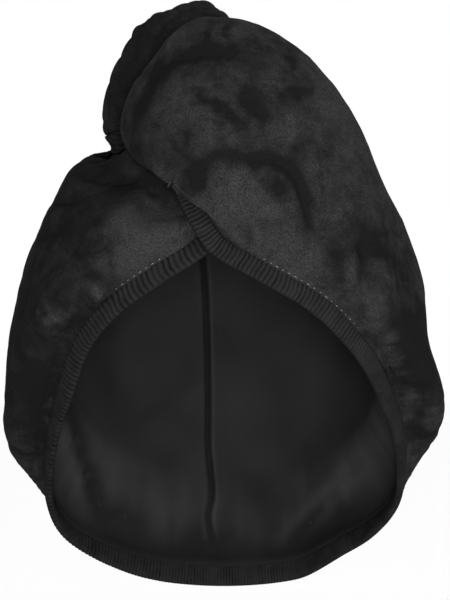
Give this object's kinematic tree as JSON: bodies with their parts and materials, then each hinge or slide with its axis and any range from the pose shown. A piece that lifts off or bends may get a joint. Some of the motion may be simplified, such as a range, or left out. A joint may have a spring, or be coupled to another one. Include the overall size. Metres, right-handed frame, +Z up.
{
  "type": "hair turban towel",
  "caption": "Worn hair turban towel: two wrapped towelling panels cross over a gathered elastic edge and run into a twisted tail laid back over the crown.",
  "frame": {"origin": "inside of the lining at the crown, where the wearer's head touches it", "axes": "+Z up, -Y out of the face opening, +X to the side whose panel lies on top"},
  "size_m": [0.2279, 0.2439, 0.3092],
  "materials": {
    "outer_cloth": "short dense pile",
    "lining_cloth": "smooth knit",
    "band_cloth": "smooth knit, gathered",
    "button": "matte"
  },
  "bodies": {
    "root": {"right_panel": "outer_cloth", "left_panel": "outer_cloth", "lining": "lining_cloth", "elastic_band": "band_cloth", "tail": "outer_cloth", "button": "button"}
  },
  "joints": []
}
